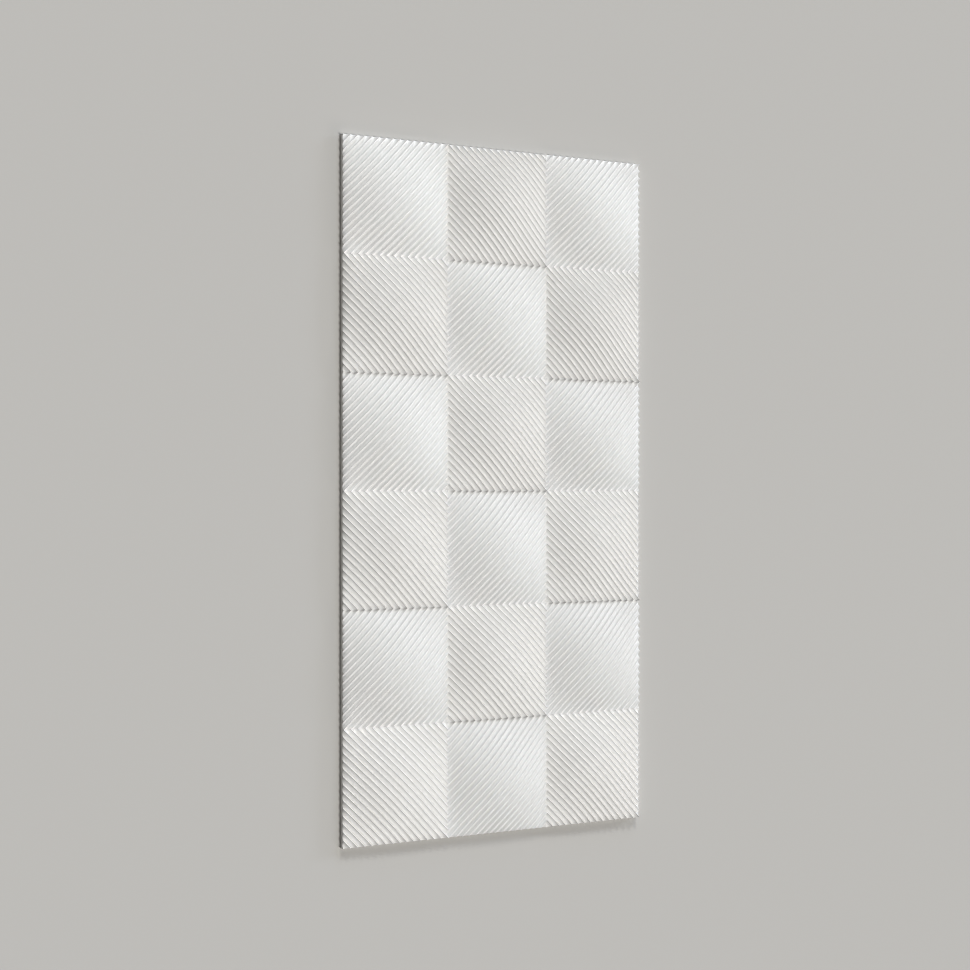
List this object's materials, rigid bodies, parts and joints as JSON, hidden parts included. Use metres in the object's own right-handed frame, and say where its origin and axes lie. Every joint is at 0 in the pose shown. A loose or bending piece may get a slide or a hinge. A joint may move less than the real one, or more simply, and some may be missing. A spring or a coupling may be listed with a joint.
{
  "type": "relief wall panel tile",
  "caption": "Flat-backed white wall tile whose front is a chequer of swollen squares covered in diagonal ribs that turn at every square; bonded to a wall and butted edge to edge.",
  "frame": {"origin": "centre of the flat back face, which lies on z = 0", "axes": "+X across the short side, +Y along the long side, +Z out of the ribbed front"},
  "size_m": [0.4, 0.8, 0.0201],
  "materials": {
    "body": "matt white, smooth"
  },
  "bodies": {
    "root": {"wall_panel": "body"}
  },
  "joints": []
}
